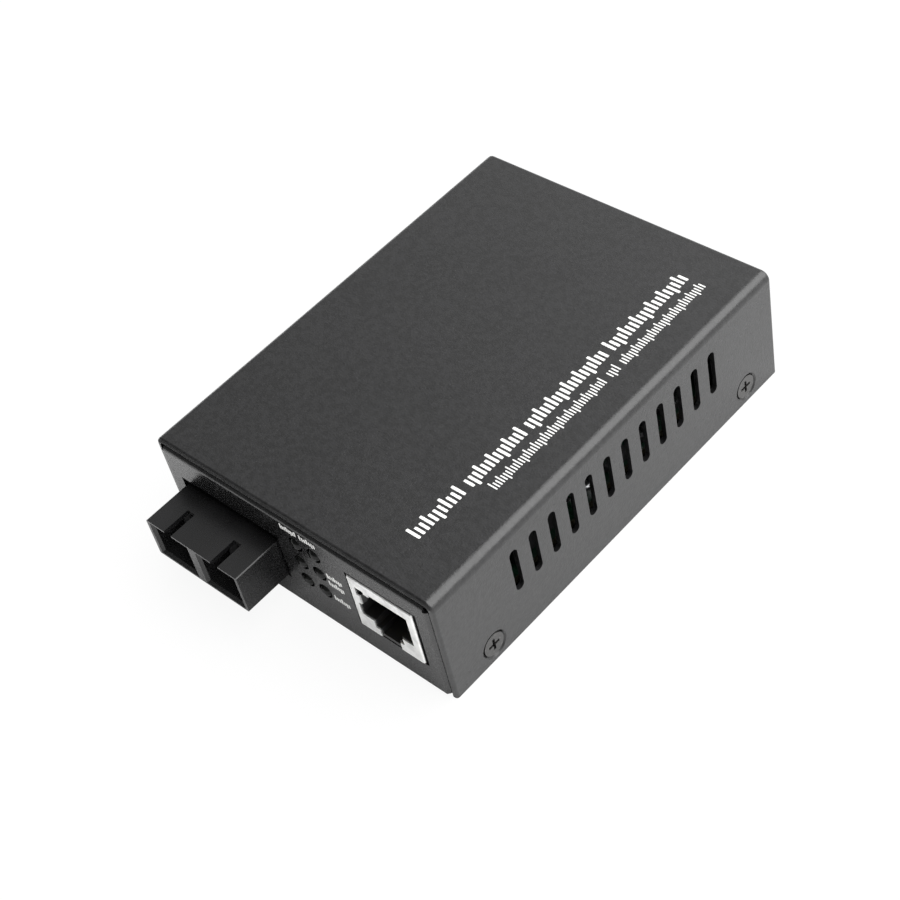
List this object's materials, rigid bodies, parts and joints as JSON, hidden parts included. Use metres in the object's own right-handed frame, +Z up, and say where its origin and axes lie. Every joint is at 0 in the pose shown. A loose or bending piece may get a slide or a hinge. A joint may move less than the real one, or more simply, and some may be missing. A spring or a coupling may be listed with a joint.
{
  "type": "fibre media converter",
  "caption": "Palm-sized network converter in a folded steel case: duplex SC fibre module and shielded network jack in front, lamps between, slotted sides, power socket behind",
  "frame": {"origin": "centre of the case's flat underside, between the cover's side walls", "axes": "+Z up, the front panel with the two ports faces -Y, +X to the right seen from the front"},
  "size_m": [0.07, 0.1053, 0.026],
  "materials": {
    "cover_paint": "fine matte black powder coat",
    "chassis_paint": "fine matte black powder coat",
    "black_screw": "black zinc plated",
    "bright_steel": "plated, satin",
    "board_laminate": "solder mask over glass laminate",
    "module_plastic": "moulded, fine texture",
    "latch_plastic": "moulded, smooth",
    "barrel_metal": "turned",
    "pin_metal": "tin plated",
    "shield_tin": "bright tin plate",
    "jack_plastic": "moulded",
    "contact_gold": "gold plated",
    "lamp_epoxy": "tinted clear epoxy",
    "holder_plastic": "moulded",
    "lead_tin": "tin plated",
    "socket_plastic": "moulded, smooth",
    "package_resin": "moulded package",
    "can_metal": "drawn, satin",
    "crystal_metal": "nickel plated can",
    "ferrite": "pressed ferrite",
    "capacitor_ceramic": "fired ceramic, tinned ends",
    "resistor_film": "film on alumina, tinned ends"
  },
  "bodies": {
    "root": {"top_cover": "cover_paint", "base_chassis": "chassis_paint", "cover_screws": "black_screw", "board_standoffs": "bright_steel", "board_screws": "bright_steel", "main_board": "board_laminate", "fibre_housing": "module_plastic", "latch_frames": "latch_plastic", "optical_barrels": "barrel_metal", "fibre_base": "module_plastic", "fibre_board": "board_laminate", "fibre_pins": "pin_metal", "jack_shield": "shield_tin", "jack_body": "jack_plastic", "jack_contacts": "contact_gold", "indicator_lamps": "lamp_epoxy", "lamp_holder": "holder_plastic", "lamp_leads": "lead_tin", "power_body": "socket_plastic", "power_pin": "pin_metal", "power_spring": "pin_metal", "converter_chip": "package_resin", "converter_chip_leads": "lead_tin", "memory_chip": "package_resin", "memory_chip_leads": "lead_tin", "line_transformer": "package_resin", "line_transformer_leads": "lead_tin", "voltage_regulator": "package_resin", "voltage_regulator_leads": "lead_tin", "input_diode": "package_resin", "input_diode_leads": "lead_tin", "crystal_can": "crystal_metal", "capacitor_bases": "package_resin", "capacitor_cans": "can_metal", "power_coil": "ferrite", "small_capacitors": "capacitor_ceramic", "small_resistors": "resistor_film"}
  },
  "joints": []
}
